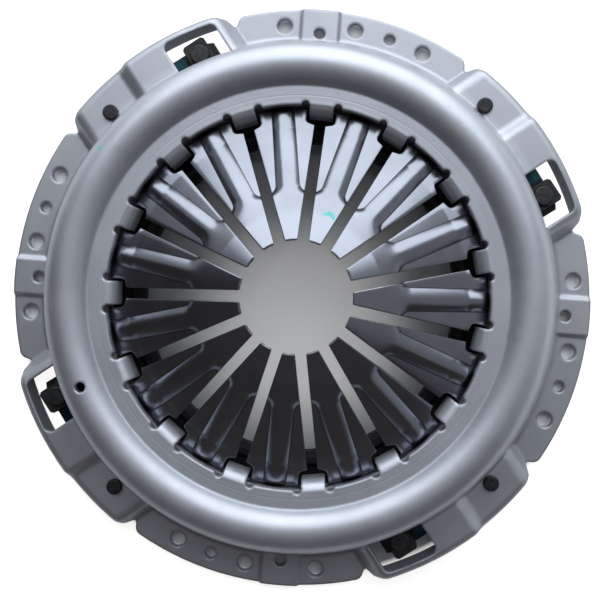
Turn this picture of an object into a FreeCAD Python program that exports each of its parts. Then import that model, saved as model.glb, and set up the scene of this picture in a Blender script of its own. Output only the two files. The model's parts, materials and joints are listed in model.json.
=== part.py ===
"""Diaphragm-spring clutch pressure plate assembly, strap driven, modelled in millimetres.

The flywheel face of the cover flange is Z = 0 and the engine axis is +Z. The middle of the first
bolting section lies on +X, and the first strap pocket lies half a quarter further round.
"""
import FreeCAD, Part
import math
import os
import Sketcher

os.makedirs("parts", exist_ok=True)
doc = FreeCAD.newDocument("ClutchPressurePlate")

SIZES = (
    ("pocket_count", 4, "strap pockets, and as many bolting sections between them"),
    ("tab_count", 15, "cover tabs, spring fingers and spring windows"),
    ("first_tab_deg", 22.5, "angle of the first cover tab"),
    ("pocket_deg", 45, "angle of the first strap pocket"),
    # cover pressing
    ("steel_thk", 4.5, "cover sheet thickness"),
    ("flange_rad", 166.5, "outer radius of the bolting flange"),
    ("flange_width", 17.5, "width of the flange outside the ring wall"),
    ("draft_deg", 19, "lean of the ring wall from the axis"),
    ("foot_round", 3, "outside radius of the bend between wall and flange"),
    ("crown_height", 47.5, "top of the round ring"),
    ("crown_round", 12.5, "outside radius of the round ring"),
    ("ledge_drop", 7.5, "top of the flat ledge inside the ring, below the ring's top"),
    ("ring_width", 45.5, "from the ring wall's foot in to the ledge's inner edge"),
    ("vent_out", 20.9, "vent hole out from the ledge's inner edge"),
    ("vent_deg", 214.4, "angle of the vent hole"),
    ("vent_hole", 2.75, "radius of the vent hole"),
    # bolting flange
    ("bolt_inset", 9, "bolt hole in from the flange's rim"),
    ("bolt_hole", 4.5, "radius of a bolt hole"),
    ("bolt_step_deg", 15, "angle from one bolt hole to the next"),
    ("dowel_hole", 3.3, "radius of a dowel hole"),
    ("rise_inset", 14, "hole of a raised step in from the flange's rim"),
    ("rise_half", 10, "half width of a raised step at its top"),
    ("rise_ramp", 2.6, "width of the ramp beside a raised step"),
    ("rise_height", 2, "height of a raised step above the flange"),
    ("notch_depth", 5.5, "depth of the notch between a flange section and a pocket"),
    ("notch_flange", 8, "width of that notch at the rim on the flange's side"),
    ("notch_pocket", 3, "width of that notch at the rim on the pocket's side"),
    ("flange_corner", 5, "corner radius of a flange section"),
    # strap pockets, measured along and across the pocket's own radius
    ("pocket_start", -54.6, "foot of the pocket wall at the window end"),
    ("pocket_end", 56.4, "foot of the pocket wall at the rivet end"),
    ("pocket_slope", 0.54, "sideways run of a pocket wall for each unit of height"),
    ("bridge_height", 19, "top of the pocket beside its window"),
    ("seat_height", 15, "top of the pocket's rivet seat"),
    ("step_place", 10.8, "where the pocket steps down to the rivet seat"),
    ("step_slope", 1.2, "sideways run of that step for each unit of height"),
    ("pocket_corner", 8, "radius of the pocket's upper corners"),
    ("step_corner", 5, "radius of the corners of the step"),
    ("rim_round", 4.5, "radius of the pocket's outer top edge"),
    ("lip_height", 5.5, "height of the open gap under the pocket's outer lip"),
    ("window_reach", 9, "reach of a pocket window in from the wall's foot"),
    ("window_start", -44, "far end of the window"),
    ("window_end", -12.6, "near end of the window"),
    ("window_corner", 4, "radius of the window's outer corners"),
    # cover tabs and pivot rings
    ("tab_half", 6.35, "half width of a tab"),
    ("tab_face_in", 5, "face of a tab in from the ledge's edge"),
    ("tab_bend", 2, "inside radius of the tab bends"),
    ("hook_thk", 4, "thickness of the coined hook under the lower pivot ring"),
    ("hook_reach", 5.5, "reach of a tab's hook out from the ledge's edge"),
    ("relief_rad", 2.25, "radius of the relief hole beside a tab"),
    ("relief_in", 0.3, "relief holes in from the ledge's edge"),
    ("ring_out", 2, "pivot ring out from the ledge's edge"),
    ("wire_rad", 2.25, "radius of the pivot ring's wire"),
    ("wire_gap_deg", 1.2, "gap between the two ends of the wire ring"),
    # diaphragm spring
    ("spring_thk", 3.6, "spring sheet thickness"),
    ("disc_width", 20.5, "spring disc outside the pivot rings"),
    ("knee_in", 13.5, "spring's turn from disc to fingers in from the pivot rings"),
    ("bend_rad", 45, "radius where the finger turns to its tip pad"),
    ("tip_rad", 29.3, "radius of the finger tips"),
    ("disc_deg", 12, "slope of the spring's disc"),
    ("finger_deg", 22, "slope of the fingers"),
    ("pad_deg", 17, "slope of the tip pads"),
    ("slot_half", 2.85, "half width of the slot between two fingers"),
    ("spring_window_half", 7.85, "half width of the spring's tab window"),
    ("spring_window_near", 3.9, "room in front of a tab in the spring's window"),
    ("spring_window_far", 6.5, "reach of the spring's window behind a tab's face"),
    ("spring_window_corner", 3, "corner radius of that window"),
    ("rib_half", 6.4, "half width of the rib along a finger"),
    ("rib_height", 2.4, "height of the rib above the finger"),
    ("rib_end_in", 3.5, "outer end of a rib in from the pivot rings"),
    ("rib_start_out", 13, "where the sides of a finger start to rise, out from the bend"),
    ("rise_run", 5, "length over which they rise"),
    ("rib_runout", 9, "length over which the rib fades out"),
    # pressure plate casting
    ("face_height", 5, "friction face above the flywheel face, cover unbolted"),
    ("bore_in", 10.3, "bore of the plate in from the tabs"),
    ("plate_room", 11, "outer edge of the plate in from the wall's foot"),
    ("rim_drop", 4, "top of the rim round the bore, below the shoulder"),
    ("rim_width", 6.3, "width of the rim round the bore"),
    ("bore_chamfer", 3, "chamfer on the bore's upper edge"),
    ("trough_depth", 6.5, "floor of the trough under the cover tabs, below the shoulder"),
    ("trough_room", 4, "room in the trough outside a tab's hook"),
    ("shoulder_drop", 20, "shoulder of the plate under the spring, below the cover's ledge"),
    ("bevel_width", 7, "bevel round the plate's outer edge"),
    ("bevel_drop", 7, "height of the bevel round the plate's outer edge"),
    ("ridge_in", 4, "fulcrum ridge in from the spring's rim"),
    ("ridge_half", 3, "half width of the fulcrum ridge"),
    ("ridge_round", 4, "radius of the fulcrum ridge's rounded top"),
    ("ridge_gap", 3, "half width of a gap in the fulcrum ridge"),
    ("lug_half", 7, "half width of a plate lug"),
    ("lug_reach", 8.7, "reach of a lug beyond its rivet"),
    ("lug_thk", 7.5, "thickness of a lug"),
    ("lug_clip", 1.5, "corner clip of a lug"),
    ("plate_lift", 4.5, "lift of the plate from unbolted to fully released"),
    # drive straps and rivets
    ("strap_thk", 1, "thickness of one strap leaf"),
    ("strap_count", 3, "leaves in a strap pack"),
    ("strap_half", 7, "half width of a strap"),
    ("strap_end", 10.5, "length of a strap beyond its rivet"),
    ("strap_clip_long", 5, "corner clip of a strap, along it"),
    ("strap_clip_wide", 2.5, "corner clip of a strap, across it"),
    ("seat_rivet_along", 32.6, "cover rivet along the pocket"),
    ("seat_rivet_in", 2.4, "cover rivet in from the wall's foot, on the pocket's radius"),
    ("lug_rivet_along", -27.9, "lug rivet along the pocket"),
    ("lug_rivet_in", 4.1, "lug rivet in from the wall's foot, on the pocket's radius"),
    ("rivet_rad", 3.1, "radius of a rivet shank"),
    ("seat_head_rad", 4.4, "radius of a cover rivet's head"),
    ("lug_head_rad", 5.5, "radius of a lug rivet's head"),
    ("head_thk", 2.6, "thickness of a rivet head"),
    ("head_round", 1, "rounding of a rivet head's edge"),
    # clearances
    ("ring_play", 0.02, "play between a pivot ring and the faces it bears on"),
    ("lug_play", 3, "room round a lug inside the cover wall"),
    ("hole_play", 0.15, "room round a lug rivet in the straps"),
    ("ridge_play", 0.3, "gap between the fulcrum ridge and the spring"),
)

sheet = doc.addObject("Spreadsheet::Sheet", "Sizes")
for row, (alias, value, meaning) in enumerate(SIZES, start=1):
    sheet.set(f"A{row}", meaning)
    sheet.set(f"B{row}", str(value))
    sheet.setAlias(f"B{row}", alias)
doc.recompute()


class Dim:
    """A size that carries both its present value and the sheet expression it comes from."""

    def __init__(self, value, text):
        self.value = float(value)
        self.text = text

    def __add__(self, other):
        other = dim(other)
        return Dim(self.value + other.value, f"({self.text} + {other.text})")

    def __sub__(self, other):
        other = dim(other)
        return Dim(self.value - other.value, f"({self.text} - {other.text})")

    def __mul__(self, other):
        other = dim(other)
        return Dim(self.value * other.value, f"({self.text} * {other.text})")

    def __truediv__(self, other):
        other = dim(other)
        return Dim(self.value / other.value, f"({self.text} / {other.text})")

    def __neg__(self):
        return Dim(-self.value, f"(0 - {self.text})")


def dim(number):
    """A plain number as a Dim."""
    if isinstance(number, Dim):
        return number
    return Dim(number, f"({float(number):.9f})")


def size(alias):
    """A driving size read from the sheet."""
    return Dim(sheet.get(alias), f"{sheet.Name}.{alias}")


def root(square):
    return Dim(math.sqrt(square.value), f"sqrt({square.text})")


def sine(angle):
    return Dim(math.sin(math.radians(angle.value)), f"sin({angle.text})")


def cosine(angle):
    return Dim(math.cos(math.radians(angle.value)), f"cos({angle.text})")


def tangent(angle):
    return Dim(math.tan(math.radians(angle.value)), f"tan({angle.text})")


def new_body(label):
    body = doc.addObject("PartDesign::Body", label)
    body.Label = label
    return body


def new_sketch(body, name, role, turn=0, out=0):
    """A sketch on one of the body's own planes.

    An upright plane is turned about the axis and moved out along its normal; the level plane is
    turned and lifted.
    """
    turn = dim(turn)
    out = dim(out)
    sketch = body.newObject("Sketcher::SketchObject", name)
    plane = next(item for item in body.Origin.OriginFeatures if item.Role == role)
    sketch.AttachmentSupport = [(plane, "")]
    sketch.MapMode = "FlatFace"
    upright = role != "XY_Plane"
    axis = FreeCAD.Vector(0, 1, 0) if upright else FreeCAD.Vector(0, 0, 1)
    start = turn.value if turn.value else 1
    sketch.AttachmentOffset = FreeCAD.Placement(FreeCAD.Vector(), FreeCAD.Rotation(axis, start))
    sketch.setExpression(".AttachmentOffset.Rotation.Angle", f"{turn.text} * 1 deg")
    if upright:
        sketch.setExpression(".AttachmentOffset.Base.x", (out * sine(turn)).text)
        sketch.setExpression(".AttachmentOffset.Base.z", (out * cosine(turn)).text)
    else:
        sketch.setExpression(".AttachmentOffset.Base.z", out.text)
    return sketch


def measure(sketch, kind, *where):
    """A dimension of the sketch, bound to the sheet."""
    value = where[-1]
    index = sketch.addConstraint(Sketcher.Constraint(kind, *where[:-1], value.value))
    sketch.setExpression(f"Constraints[{index}]", value.text)


def place_point(sketch, edge, end, x, y):
    if x.value == 0:
        sketch.addConstraint(Sketcher.Constraint("PointOnObject", edge, end, -2))
    else:
        measure(sketch, "DistanceX", edge, end, x)
    if y.value == 0:
        sketch.addConstraint(Sketcher.Constraint("PointOnObject", edge, end, -1))
    else:
        measure(sketch, "DistanceY", edge, end, y)


def outline(sketch, *stops):
    """A closed outline through stops (x, y).

    A stop (x, y, radius, turn) is reached by an arc, which turns left when turn is 1 and right
    when it is -1.
    """
    stops = [tuple(dim(part) for part in stop[:3]) + tuple(stop[3:]) for stop in stops]
    ends = []
    for index, stop in enumerate(stops):
        last = stops[index - 1]
        start = FreeCAD.Vector(last[0].value, last[1].value, 0)
        stop_point = FreeCAD.Vector(stop[0].value, stop[1].value, 0)
        if len(stop) == 2:
            edge = sketch.addGeometry(Part.LineSegment(start, stop_point))
            ends.append((edge, 1, 2))
            continue
        radius, turn = stop[2].value, stop[3]
        chord = stop_point - start
        rise = math.sqrt(max(radius**2 - chord.Length**2 / 4, 0))
        side = FreeCAD.Vector(-chord.y, chord.x, 0).normalize()
        centre = (start + stop_point) / 2 + side * (rise * turn)
        first = math.atan2(start.y - centre.y, start.x - centre.x)
        second = math.atan2(stop_point.y - centre.y, stop_point.x - centre.x)
        if turn < 0:
            first, second = second, first
        circle = Part.Circle(centre, FreeCAD.Vector(0, 0, 1), radius)
        edge = sketch.addGeometry(Part.ArcOfCircle(circle, first, second))
        ends.append((edge, 1, 2) if turn > 0 else (edge, 2, 1))
    for index, stop in enumerate(stops):
        edge, _, finish = ends[index]
        after, begin, _ = ends[(index + 1) % len(stops)]
        sketch.addConstraint(Sketcher.Constraint("Coincident", edge, finish, after, begin))
        place_point(sketch, edge, finish, stop[0], stop[1])
        if len(stop) > 2:
            measure(sketch, "Radius", edge, stop[2])


def circle(sketch, x, y, radius):
    x, y, radius = dim(x), dim(y), dim(radius)
    centre = FreeCAD.Vector(x.value, y.value, 0)
    edge = sketch.addGeometry(Part.Circle(centre, FreeCAD.Vector(0, 0, 1), radius.value))
    place_point(sketch, edge, 3, x, y)
    measure(sketch, "Radius", edge, radius)


def polar_circle(sketch, reach, angle, radius):
    circle(sketch, reach * cosine(angle), reach * sine(angle), radius)


def turned(body, sketch, name, cut=False):
    """The outline swept once round the axis."""
    kind = "PartDesign::Groove" if cut else "PartDesign::Revolution"
    feature = body.newObject(kind, name)
    feature.Profile = sketch
    feature.ReferenceAxis = (sketch, ["V_Axis"])
    feature.Angle = 360
    return feature


def pushed(body, sketch, name, length, cut=False, both_ways=False, against=False):
    """The outline pushed out to a length, or cut away over it."""
    feature = body.newObject("PartDesign::Pocket" if cut else "PartDesign::Pad", name)
    feature.Profile = sketch
    feature.Length = length.value
    feature.setExpression("Length", length.text)
    feature.Reversed = against
    if both_ways:
        feature.SideType = "Symmetric"
    return feature


def lofted(body, sections, name, cut=False):
    kind = "PartDesign::SubtractiveLoft" if cut else "PartDesign::AdditiveLoft"
    feature = body.newObject(kind, name)
    feature.Profile = sections[0]
    feature.Sections = sections[1:]
    feature.Ruled = True
    return feature


def repeated(body, features, name, count):
    """The features repeated evenly round the axis."""
    axis = next(item for item in body.Origin.OriginFeatures if item.Role == "Z_Axis")
    pattern = body.newObject("PartDesign::PolarPattern", name)
    pattern.Originals = features
    pattern.Axis = (axis, [""])
    pattern.Angle = 360
    pattern.Occurrences = int(count.value)
    pattern.setExpression("Occurrences", count.text)
    body.Tip = pattern
    return pattern


def rounded(body, name, radius, wanted, kind="PartDesign::Fillet"):
    """A fillet, or a chamfer, on the edges of the body that the test picks."""
    doc.recompute()
    base = body.Tip
    picked = [f"Edge{i}" for i, edge in enumerate(base.Shape.Edges, start=1) if wanted(edge)]
    feature = body.newObject(kind, name)
    feature.Base = (base, picked)
    side = "Radius" if kind.endswith("Fillet") else "Size"
    setattr(feature, side, radius.value)
    feature.setExpression(side, radius.text)
    return feature


def middle(edge):
    return edge.valueAt((edge.FirstParameter + edge.LastParameter) / 2)


def near(value, target, room=0.05):
    return abs(value - target.value) < room


# Values that several pieces share.
pockets = size("pocket_count")
tabs = size("tab_count")
thk = size("steel_thk")
pocket_turn = size("pocket_deg")
flange_rad = size("flange_rad")
reach_past = flange_rad + 15

# Radii, worked in from the flange's rim to the finger tips.
foot_rad = flange_rad - size("flange_width")
bolt_circle = flange_rad - size("bolt_inset")
rise_circle = flange_rad - size("rise_inset")
ledge_rad = foot_rad - size("ring_width")
vent_rad = ledge_rad + size("vent_out")
window_inner = foot_rad - size("window_reach")
seat_rivet_out = foot_rad - size("seat_rivet_in")
lug_rivet_out = foot_rad - size("lug_rivet_in")
tab_face_rad = ledge_rad - size("tab_face_in")
hook_rad = ledge_rad + size("hook_reach")
relief_circle = ledge_rad - size("relief_in")
ring_rad = ledge_rad + size("ring_out")
spring_rad = ring_rad + size("disc_width")
knee_rad = ring_rad - size("knee_in")
spring_window_in = tab_face_rad - size("spring_window_near")
spring_window_out = tab_face_rad + size("spring_window_far")
rib_outer = ring_rad - size("rib_end_in")
rib_inner = size("bend_rad") + size("rib_start_out")
ridge_rad = spring_rad - size("ridge_in")
plate_rad = foot_rad - size("plate_room")
shoulder_rad = plate_rad - size("bevel_width")
trough_rad = hook_rad + size("trough_room")
bore_rad = tab_face_rad - size("bore_in")
rim_rad = bore_rad + size("rim_width")

crown_z = size("crown_height") - size("crown_round")
ledge_top = size("crown_height") - size("ledge_drop")
draft = size("draft_deg")
crown_r = foot_rad - (crown_z - thk) * tangent(draft) - size("crown_round") / cosine(draft)

strap_top = size("seat_height") - thk
strap_bottom = strap_top - size("strap_thk") * size("strap_count")
lug_top = strap_top + size("lug_thk")
play = size("lug_play")

# The spring lies between the two pivot rings, which hang under the cover's ledge.
upper_ring_z = ledge_top - thk - size("wire_rad") - size("ring_play") * 3
ring_to_face = (size("wire_rad") + size("ring_play")) / cosine(size("disc_deg"))
spring_at_ring = upper_ring_z - ring_to_face
lower_ring_z = spring_at_ring - size("spring_thk") / cosine(size("disc_deg")) - ring_to_face
hook_top = lower_ring_z - size("wire_rad") - size("ring_play") * 3


# Cover. A steel pressing: bolting flange, drawn round ring, ledge, strap pockets and tabs.
# It is built as the outer shape, which is then hollowed by the sheet's thickness.
cover = new_body("cover")


def ring_stops(inset):
    """Foot, end of the straight wall and inner end of the round ring, moved in by the inset."""
    radius = size("crown_round") - inset
    wall_r = crown_r + radius * cosine(draft)
    wall_z = crown_z + radius * sine(draft)
    ledge_z = ledge_top - inset
    drop = ledge_z - crown_z
    inner_r = crown_r - root(radius * radius - drop * drop)
    return radius, wall_r, wall_z, ledge_z, inner_r


def foot_stops(corner_r, corner_z, bend_round):
    """The bend between wall and flange: its start on the flange and its end on the wall."""
    run = bend_round * tangent((dim(90) - draft) / 2)
    wall_end = (corner_r - run * sine(draft), corner_z + run * cosine(draft), bend_round, -1)
    return (corner_r + run, corner_z), wall_end


radius, wall_r, wall_z, ledge_z, inner_r = ring_stops(dim(0))
mass = new_sketch(cover, "ring_outside", "XZ_Plane")
outline(
    mass,
    (ledge_rad, dim(0)),
    (flange_rad, dim(0)),
    (flange_rad, thk),
    *foot_stops(foot_rad, thk, size("foot_round")),
    (wall_r, wall_z),
    (inner_r, ledge_z, radius, 1),
    (ledge_rad, ledge_z),
)
turned(cover, mass, "ring_mass")


def pocket_stops(inset, floor):
    """Side view of a pocket along its radius, moved in by the inset."""
    slope = size("pocket_slope")
    lean = inset * root(slope * slope + 1)
    high = size("bridge_height") - inset
    low = size("seat_height") - inset
    start = size("pocket_start") + lean
    finish = size("pocket_end") - lean
    step_slope = size("step_slope")
    step = size("step_place") + inset * (step_slope - root(step_slope * step_slope + 1))
    return (
        (start + (floor - thk) * slope, floor),
        (start + (high - thk) * slope, high),
        (step, high),
        (step + (high - low) * step_slope, low),
        (finish - (low - thk) * slope, low),
        (finish - (floor - thk) * slope, floor),
    )


pocket_side = new_sketch(cover, "pocket_side", "YZ_Plane", pocket_turn, ledge_rad + 15)
outline(pocket_side, *pocket_stops(dim(0), thk))
pocket_mass = pushed(cover, pocket_side, "pocket_mass", reach_past - ledge_rad - 15)
repeated(cover, [pocket_mass], "pockets_round", pockets)

# Raised steps with a small hole, one beside the middle bolt of each flange section.
rise_turn = size("bolt_step_deg") / 2
rise_side = new_sketch(cover, "rise_side", "YZ_Plane", rise_turn, foot_rad - 5)


def rise_stops(inset, floor):
    foot = size("rise_half") + size("rise_ramp")
    top = thk + size("rise_height") - inset
    return ((-foot, floor), (foot, floor), (size("rise_half"), top), (-size("rise_half"), top))


outline(rise_side, *rise_stops(dim(0), thk - 0.5))
rise_mass = pushed(cover, rise_side, "rise_mass", reach_past - foot_rad)
repeated(cover, [rise_mass], "rises_round", pockets)

trim = new_sketch(cover, "outside_trim", "XZ_Plane")
outline(
    trim,
    (flange_rad, dim(-5)),
    (reach_past + 40, dim(-5)),
    (reach_past + 40, size("crown_height")),
    (flange_rad, size("crown_height")),
)
turned(cover, trim, "outside_cut", cut=True)


def pocket_ridge(edge, at_step):
    """The level edges along a pocket's radius, at its two ends or at its step."""
    if not isinstance(edge.Curve, Part.Line) or abs(edge.tangentAt(edge.FirstParameter).z) > 0.01:
        return False
    point = middle(edge)
    if not (near(point.z, size("bridge_height")) or near(point.z, size("seat_height"))):
        return False
    turn = math.atan2(point.y, point.x) - math.radians(pocket_turn.value)
    quarter = 2 * math.pi / pockets.value
    turn = (turn + quarter / 2) % quarter - quarter / 2
    along = math.hypot(point.x, point.y) * math.sin(turn)
    return at_step == (-20 < along - size("step_place").value < 20)


rounded(cover, "pocket_corners", size("pocket_corner"), lambda edge: pocket_ridge(edge, False))
rounded(cover, "step_corners", size("step_corner"), lambda edge: pocket_ridge(edge, True))


def pocket_rim(edge):
    """The pocket's outer top edge, between its two feet."""
    point = middle(edge)
    on_rim = near(math.hypot(point.x, point.y), flange_rad)
    ends = [vertex.Point.z for vertex in edge.Vertexes]
    above = point.z > thk.value + size("rise_height").value + 0.5
    return on_rim and above and min(ends) > thk.value - 0.1


rounded(cover, "pocket_rims", size("rim_round"), pocket_rim)

radius, wall_r, wall_z, ledge_z, inner_r = ring_stops(thk)
hollow = new_sketch(cover, "ring_inside", "XZ_Plane")
inside_foot = foot_rad - thk / cosine(draft) + thk * tangent(draft)
mouth = foot_stops(inside_foot, dim(0), size("foot_round") + thk)
outline(
    hollow,
    (ledge_rad - 5, dim(-2)),
    (mouth[0][0], dim(-2)),
    *mouth,
    (wall_r, wall_z),
    (inner_r, ledge_z, radius, 1),
    (ledge_rad - 5, ledge_z),
)
turned(cover, hollow, "ring_hollow", cut=True)

# The pockets' inside, kept clear of the outer lip.
hollow_tool = new_body("pocket_hollows")
tool_side = new_sketch(hollow_tool, "tool_side", "YZ_Plane", pocket_turn, ledge_rad + 15)
outline(tool_side, *pocket_stops(thk, dim(-2)))
tool_mass = pushed(hollow_tool, tool_side, "tool_mass", reach_past - ledge_rad - 15)
repeated(hollow_tool, [tool_mass], "tools_round", pockets)
tool_trim = new_sketch(hollow_tool, "tool_trim", "XZ_Plane")
lip_rad = flange_rad - thk
outline(
    tool_trim,
    (lip_rad, size("lip_height")),
    (reach_past + 40, size("lip_height")),
    (reach_past + 40, size("crown_height")),
    (lip_rad, size("crown_height")),
)
turned(hollow_tool, tool_trim, "tool_cut", cut=True)
doc.recompute()

pocket_cut = cover.newObject("PartDesign::Boolean", "pocket_cut")
pocket_cut.Type = "Cut"
pocket_cut.setObjects([hollow_tool])
cover.Tip = pocket_cut

# The steps are pressed up from below, so the flange keeps its thickness there.
rise_under = new_sketch(cover, "rise_under", "YZ_Plane", rise_turn, foot_rad - 8)
outline(rise_under, *rise_stops(thk, dim(-0.5)))
rise_hollow = pushed(cover, rise_under, "rise_hollow", dim(60), cut=True, against=True)
repeated(cover, [rise_hollow], "rise_hollows_round", pockets)

# Windows over the plate lugs, and room for the lugs inside the ring wall.
window = new_sketch(cover, "window_plan", "XY_Plane", pocket_turn, dim(-2))
window_in, window_out = window_inner, lip_rad
far_end, near_end = size("window_start"), size("window_end")


def across(reach, along):
    """Distance out along the pocket's radius of a point that lies at this reach."""
    return root(reach * reach - along * along)


corner = size("window_corner")
far_in, near_in = far_end + corner, near_end - corner
far_out = across(window_out - corner, far_in)
near_out = across(window_out - corner, near_in)
stretch = window_out / (window_out - corner)
outline(
    window,
    (across(window_in, far_end), far_end, window_in, -1),
    (far_out, far_end),
    (far_out * stretch, far_in * stretch, corner, 1),
    (near_out * stretch, near_in * stretch, window_out, 1),
    (near_out, near_end, corner, 1),
    (across(window_in, near_end), near_end),
)
window_cut = pushed(cover, window, "window_cut", size("crown_height"), cut=True, against=True)
repeated(cover, [window_cut], "windows_round", pockets)

lug_room = new_sketch(cover, "lug_room", "XY_Plane", pocket_turn, lug_top + size("plate_lift") + play)
room_half = size("lug_half") + play
outline(
    lug_room,
    (plate_rad - 15, size("lug_rivet_along") - room_half),
    (window_in + 0.5, size("lug_rivet_along") - room_half),
    (window_in + 0.5, size("lug_rivet_along") + room_half),
    (plate_rad - 15, size("lug_rivet_along") + room_half),
)
room_cut = pushed(cover, lug_room, "room_cut", size("crown_height"), cut=True)
repeated(cover, [room_cut], "rooms_round", pockets)

# Notches at the rim, between each pocket and the flange sections beside it.
notch_cuts = []
for name, foot, way in (("notch_start", size("pocket_start"), 1), ("notch_end", size("pocket_end"), -1)):
    notch = new_sketch(cover, name, "XY_Plane", pocket_turn, dim(-2))
    rim = across(flange_rad, foot)
    depth = size("notch_depth")
    outline(
        notch,
        (rim - depth, foot - way * 0.8),
        (rim + depth, foot - (size("notch_flange") * 2 - 0.8) * way),
        (rim + depth, foot + (size("notch_pocket") * 2 - 0.8) * way),
        (rim - depth, foot + way * 0.8),
    )
    notch_cuts.append(pushed(cover, notch, name + "_cut", dim(40), cut=True, against=True))
repeated(cover, notch_cuts, "notches_round", pockets)


def flange_edge(edge):
    """The upright edges at the corners of the flange sections."""
    if not isinstance(edge.Curve, Part.Line) or abs(edge.tangentAt(edge.FirstParameter).z) < 0.99:
        return False
    point = middle(edge)
    return near(math.hypot(point.x, point.y), flange_rad) and near(point.z, thk / 2)


rounded(cover, "flange_corners", size("flange_corner"), flange_edge)

# Bolt, dowel and step holes of a flange section, and the hole for the strap rivet.
holes = new_sketch(cover, "flange_holes", "XY_Plane", 0, dim(-2))
for place in (-1, 0, 1):
    polar_circle(holes, bolt_circle, size("bolt_step_deg") * place, size("bolt_hole"))
polar_circle(holes, bolt_circle, -rise_turn, size("dowel_hole"))
polar_circle(holes, rise_circle, rise_turn, size("dowel_hole"))
hole_cut = pushed(cover, holes, "hole_cut", thk + 10, cut=True, against=True)
seat_hole = new_sketch(cover, "seat_hole", "XY_Plane", pocket_turn, dim(-2))
circle(seat_hole, seat_rivet_out, size("seat_rivet_along"), size("rivet_rad"))
seat_cut = pushed(cover, seat_hole, "seat_cut", size("seat_height") + 4, cut=True, against=True)
repeated(cover, [hole_cut, seat_cut], "holes_round", pockets)

vent = new_sketch(cover, "vent_plan", "XY_Plane", size("vent_deg"), crown_z)
circle(vent, vent_rad, 0, size("vent_hole"))
pushed(cover, vent, "vent_cut", size("crown_round") + 2, cut=True, against=True)

# Tabs, bent down through the spring's windows and hooked under the lower pivot ring.
tab_turn = size("first_tab_deg")
bend = size("tab_bend")
face = tab_face_rad
hook_bottom = hook_top - size("hook_thk")
tab_side = new_sketch(cover, "tab_side", "XZ_Plane", tab_turn)
outline(
    tab_side,
    (ledge_rad + thk, ledge_top),
    (face + thk + bend, ledge_top),
    (face, ledge_top - thk - bend, thk + bend, 1),
    (face, hook_top + bend),
    (face + size("hook_thk") + bend, hook_bottom, size("hook_thk") + bend, 1),
    (hook_rad, hook_bottom),
    (hook_rad, hook_top),
    (face + thk + bend, hook_top),
    (face + thk, hook_top + bend, bend, -1),
    (face + thk, ledge_top - thk - bend),
    (face + thk + bend, ledge_top - thk, bend, -1),
    (ledge_rad + thk, ledge_top - thk),
)
tab = pushed(cover, tab_side, "tab", size("tab_half") * 2, both_ways=True)
relief = new_sketch(cover, "relief_plan", "XY_Plane", tab_turn, ledge_top + 1)
relief_side = size("tab_half") + size("relief_rad") + 0.2
for side in (1, -1):
    relief_out = across(relief_circle, relief_side)
    circle(relief, relief_out, relief_side * side, size("relief_rad"))
relief_cut = pushed(cover, relief, "relief_cut", thk + 2, cut=True)
repeated(cover, [tab, relief_cut], "tabs_round", tabs)


# Pivot rings. Spring-steel wire, one above and one below the diaphragm spring.
def pivot_ring(label, height, turn):
    ring = doc.addObject("Part::Torus", label)
    ring.Label = label
    ring.setExpression("Radius1", ring_rad.text)
    ring.setExpression("Radius2", size("wire_rad").text)
    ring.setExpression("Angle3", f"(360 - {size('wire_gap_deg').text}) * 1 deg")
    ring.Placement = FreeCAD.Placement(
        FreeCAD.Vector(0, 0, height.value), FreeCAD.Rotation(FreeCAD.Vector(0, 0, 1), turn)
    )
    ring.setExpression(".Placement.Base.z", height.text)
    return ring


pivot_ring("upper_pivot_ring", upper_ring_z, 70)
pivot_ring("lower_pivot_ring", lower_ring_z, 250)


# Diaphragm spring. A slotted steel disc spring whose fingers rise to the release bearing.
spring = new_body("diaphragm_spring")
disc, finger, pad = size("disc_deg"), size("finger_deg"), size("pad_deg")
spring_thk = size("spring_thk")


def spring_top(reach):
    """Height of the spring's upper face at a radius, between its rim and the bend."""
    knee_z = spring_at_ring + (ring_rad - knee_rad) * tangent(disc)
    if reach.value > knee_rad.value:
        return spring_at_ring + (ring_rad - reach) * tangent(disc)
    return knee_z + (knee_rad - reach) * tangent(finger)


knee_top = spring_top(knee_rad)
low_rad = rib_inner
high_rad = low_rad - size("rise_run")
bend_top = spring_top(size("bend_rad")) + size("rib_height")
tip_top = bend_top + (size("bend_rad") - size("tip_rad")) * tangent(pad)
rim_top = spring_top(spring_rad)
finger_thk = spring_thk / cosine(finger)
disc_thk = spring_thk / cosine(disc)
spring_side = new_sketch(spring, "spring_side", "XZ_Plane")
outline(
    spring_side,
    (spring_rad, rim_top - disc_thk),
    (spring_rad, rim_top),
    (knee_rad, knee_top),
    (low_rad, spring_top(low_rad)),
    (high_rad, spring_top(high_rad) + size("rib_height")),
    (size("bend_rad"), bend_top),
    (size("tip_rad"), tip_top),
    (size("tip_rad"), tip_top - spring_thk / cosine(pad)),
    (size("bend_rad"), bend_top - finger_thk),
    (high_rad + 1, spring_top(high_rad + 1) + size("rib_height") - finger_thk),
    (low_rad + 1, spring_top(low_rad + 1) - finger_thk),
    (knee_rad, knee_top - disc_thk),
)
turned(spring, spring_side, "spring_disc")

# The rib pressed up along each finger, and its hollow below.
finger_turn = tab_turn + dim(180) / tabs
runout = size("rib_runout")
rib_places = (
    (rib_outer, dim(0.15)),
    (rib_outer - runout, size("rib_height")),
    (low_rad, size("rib_height")),
    (high_rad - 1, size("rib_height") - 0.5),
)


def rib_sections(name, drop, half, root_depth):
    """Rib sections across a finger, each a flat-based arch, set down by the drop."""
    sections = []
    for number, (reach, height) in enumerate(rib_places):
        section = new_sketch(spring, f"{name}_{number}", "YZ_Plane", finger_turn, reach)
        base = spring_top(reach) - drop - root_depth
        total = height + root_depth
        radius = (half * half + total * total) / (total * 2)
        outline(section, (-half, base, radius, 1), (half, base))
        sections.append(section)
    return sections


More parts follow.
